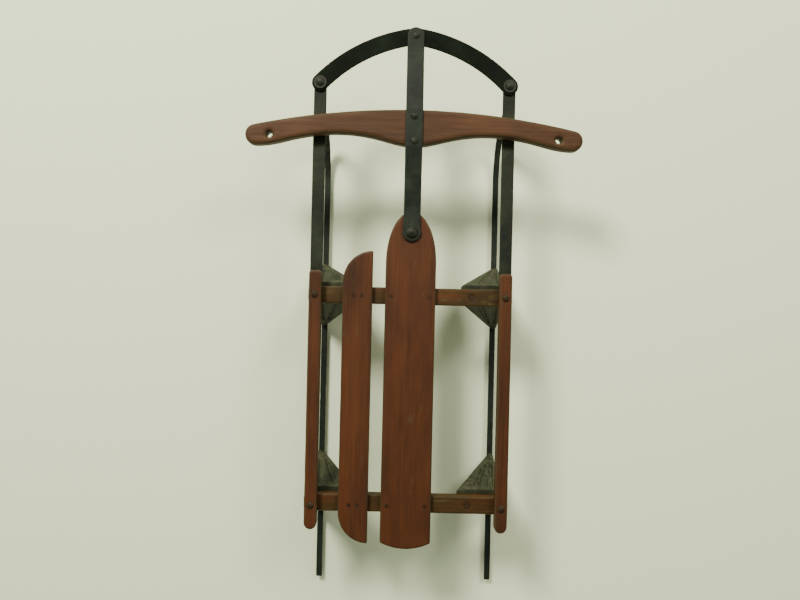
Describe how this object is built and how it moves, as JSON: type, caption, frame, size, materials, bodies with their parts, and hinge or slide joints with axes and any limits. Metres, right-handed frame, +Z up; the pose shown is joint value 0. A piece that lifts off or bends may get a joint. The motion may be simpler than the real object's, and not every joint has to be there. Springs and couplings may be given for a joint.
{
  "type": "steerable sled",
  "caption": "Old steerable wooden sled on steel runners: red slats and rails, steel bow, steering strap and crossbar handle.",
  "frame": {"origin": "on the ground below the middle of the sled's box, standing on its runners", "axes": "+Y forwards to the bow, +Z up, +X to the rider's right"},
  "size_m": [0.492, 0.864, 0.1714],
  "materials": {
    "painted_wood": "worn brick-red paint over grain",
    "handle_wood": "worn red stain",
    "bench_wood": "weathered brown",
    "painted_steel": "dark green-black, worn",
    "knee_steel": "dull grey-green, worn",
    "fasteners": "tarnished"
  },
  "bodies": {
    "frame": {"centre_slat": "painted_wood", "left_slat": "painted_wood", "left_side_rail": "painted_wood", "right_side_rail": "painted_wood", "front_bench": "bench_wood", "rear_bench": "bench_wood", "front_left_knee": "knee_steel", "front_right_knee": "knee_steel", "rear_left_knee": "knee_steel", "rear_right_knee": "knee_steel", "front_left_foot_rivets": "fasteners", "front_right_foot_rivets": "fasteners", "rear_left_foot_rivets": "fasteners", "rear_right_foot_rivets": "fasteners", "left_runner": "painted_steel", "right_runner": "painted_steel", "rail_rivets": "fasteners", "rail_rivet_burrs": "fasteners", "knee_bolts": "fasteners", "knee_nuts": "fasteners", "slat_nails": "fasteners", "pivot_bolt": "fasteners", "pivot_washer": "fasteners", "pivot_nut": "fasteners"},
    "steering": {"steering_strap": "painted_steel", "steering_handle": "handle_wood", "handle_rivets": "fasteners", "handle_rivet_burrs": "fasteners", "apex_rivet": "fasteners", "apex_rivet_burr": "fasteners"},
    "bow_bar": {"bow": "painted_steel"},
    "left_link": {"left_side_strap": "painted_steel", "left_runner_front": "painted_steel", "bow_left_rivet": "fasteners", "bow_left_ring": "fasteners"},
    "right_link": {"right_side_strap": "painted_steel", "right_runner_front": "painted_steel", "bow_right_rivet": "fasteners", "bow_right_ring": "fasteners"}
  },
  "joints": [
    {"name": "steer", "type": "hinge", "parent": "frame", "child": "steering", "pos_m": [0, 0.1297, 0.152], "axis": [0, 0, 1], "range_deg": [-8, 8]},
    {"name": "bow_turn", "type": "hinge", "parent": "steering", "child": "bow_bar", "pos_m": [0, 0.4193, 0.1454], "axis": [0, 0, 1], "range_deg": [-8, 8]},
    {"name": "left_link_turn", "type": "hinge", "parent": "frame", "child": "left_link", "pos_m": [-0.1397, 0.0357, 0.1418], "axis": [0, 0, 1], "range_deg": [-7.5, 7.5]},
    {"name": "right_link_turn", "type": "hinge", "parent": "frame", "child": "right_link", "pos_m": [0.1397, 0.0357, 0.1418], "axis": [0, 0, 1], "range_deg": [-7.5, 7.5]}
  ],
  "couplings": [
    {"joint": "bow_turn", "follows": "steer", "ratio": -1},
    {"joint": "left_link_turn", "follows": "steer", "ratio": 0.9258},
    {"joint": "right_link_turn", "follows": "steer", "ratio": 0.9258}
  ]
}
